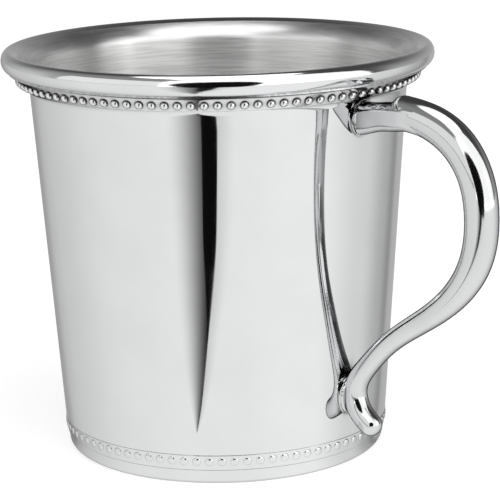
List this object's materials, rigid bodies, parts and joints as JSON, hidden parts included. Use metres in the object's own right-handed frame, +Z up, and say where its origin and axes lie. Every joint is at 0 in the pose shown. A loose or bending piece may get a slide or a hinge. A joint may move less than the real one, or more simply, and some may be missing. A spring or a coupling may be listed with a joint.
{
  "type": "baby cup",
  "caption": "Small tapered metal cup for a baby, with a flared wire-edged mouth, beaded bands under the mouth and above the foot, and an open scroll handle on one side.",
  "frame": {"origin": "centre of the flat underside of the base, on the surface that the cup stands on", "axes": "+Z up the cup's axis, +X from the axis towards the handle, +Y to the left of the handle seen from the axis"},
  "size_m": [0.0911, 0.07, 0.0662],
  "materials": {
    "polished_metal": "mirror polish with faint polishing marks",
    "satin_metal": "satin, brushed round",
    "solder": "dull, cleaned off flush"
  },
  "bodies": {
    "root": {"cup_wall": "polished_metal", "base_plate": "satin_metal", "base_seam_solder": "solder", "mouth_wire": "polished_metal", "mouth_wire_solder": "solder", "upper_bead_band": "polished_metal", "upper_band_solder": "solder", "lower_bead_band": "polished_metal", "lower_band_solder": "solder", "handle": "polished_metal", "upper_handle_pad": "polished_metal", "lower_handle_pad": "polished_metal"}
  },
  "joints": []
}
